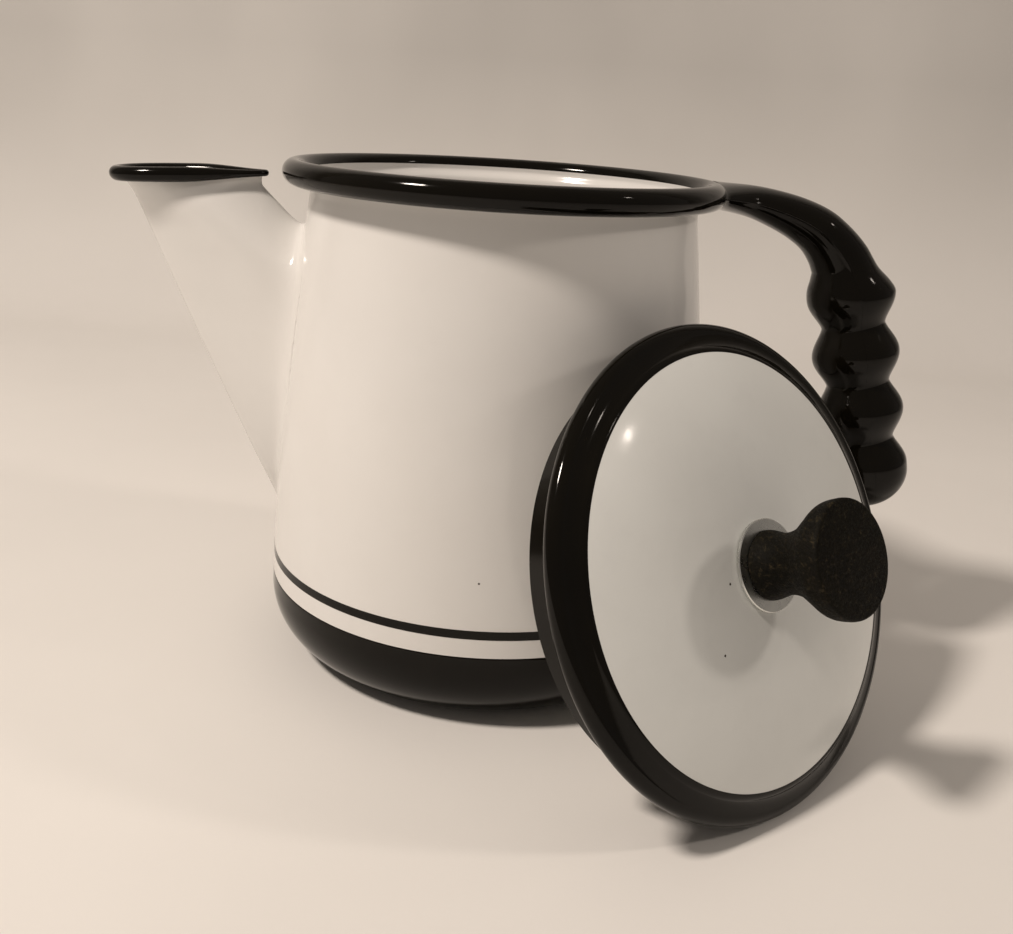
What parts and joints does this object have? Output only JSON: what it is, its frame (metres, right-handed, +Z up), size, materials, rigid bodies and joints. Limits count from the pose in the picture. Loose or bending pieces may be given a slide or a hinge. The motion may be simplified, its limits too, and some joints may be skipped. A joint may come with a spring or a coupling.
{
  "type": "kettle",
  "caption": "Enamelled steel coffee kettle with a pressed V spout, rolled rim, hollow finger-grip handle and a loose domed lid with a wooden knob.",
  "frame": {"origin": "middle of the flat underside of the base", "axes": "+Z up, -X towards the spout, +X towards the handle, the leaning lid on the -Y side"},
  "size_m": [0.2769, 0.211, 0.1654],
  "materials": {
    "white_enamel": "glossy white vitreous enamel on steel",
    "black_enamel": "glossy black vitreous enamel on steel",
    "steel": "bright plated steel",
    "brass": "turned brass",
    "knob_wood": "dark stained hardwood, worn satin"
  },
  "bodies": {
    "pot": {"body_wall": "white_enamel", "base_pan": "black_enamel", "rim_bead": "black_enamel", "rim_wire": "steel", "spout_shell": "white_enamel", "spout_rim": "black_enamel", "spout_rim_wire": "steel", "handle_outer_shell": "black_enamel", "handle_inner_shell": "black_enamel", "handle_tang": "steel"},
    "lid": {"lid_dome": "white_enamel", "lid_rim": "black_enamel", "lid_rim_wire": "steel", "lid_flange": "black_enamel", "knob": "knob_wood", "knob_insert": "brass", "knob_screw": "steel", "knob_washer": "steel", "lid_inner_washer": "steel", "lock_washer": "steel"}
  },
  "joints": [
    {"name": "lid_lift", "type": "slide", "parent": "pot", "child": "lid", "axis": [0.6013, -0.6868, 0.4083], "range_m": [0, 0.15]}
  ]
}
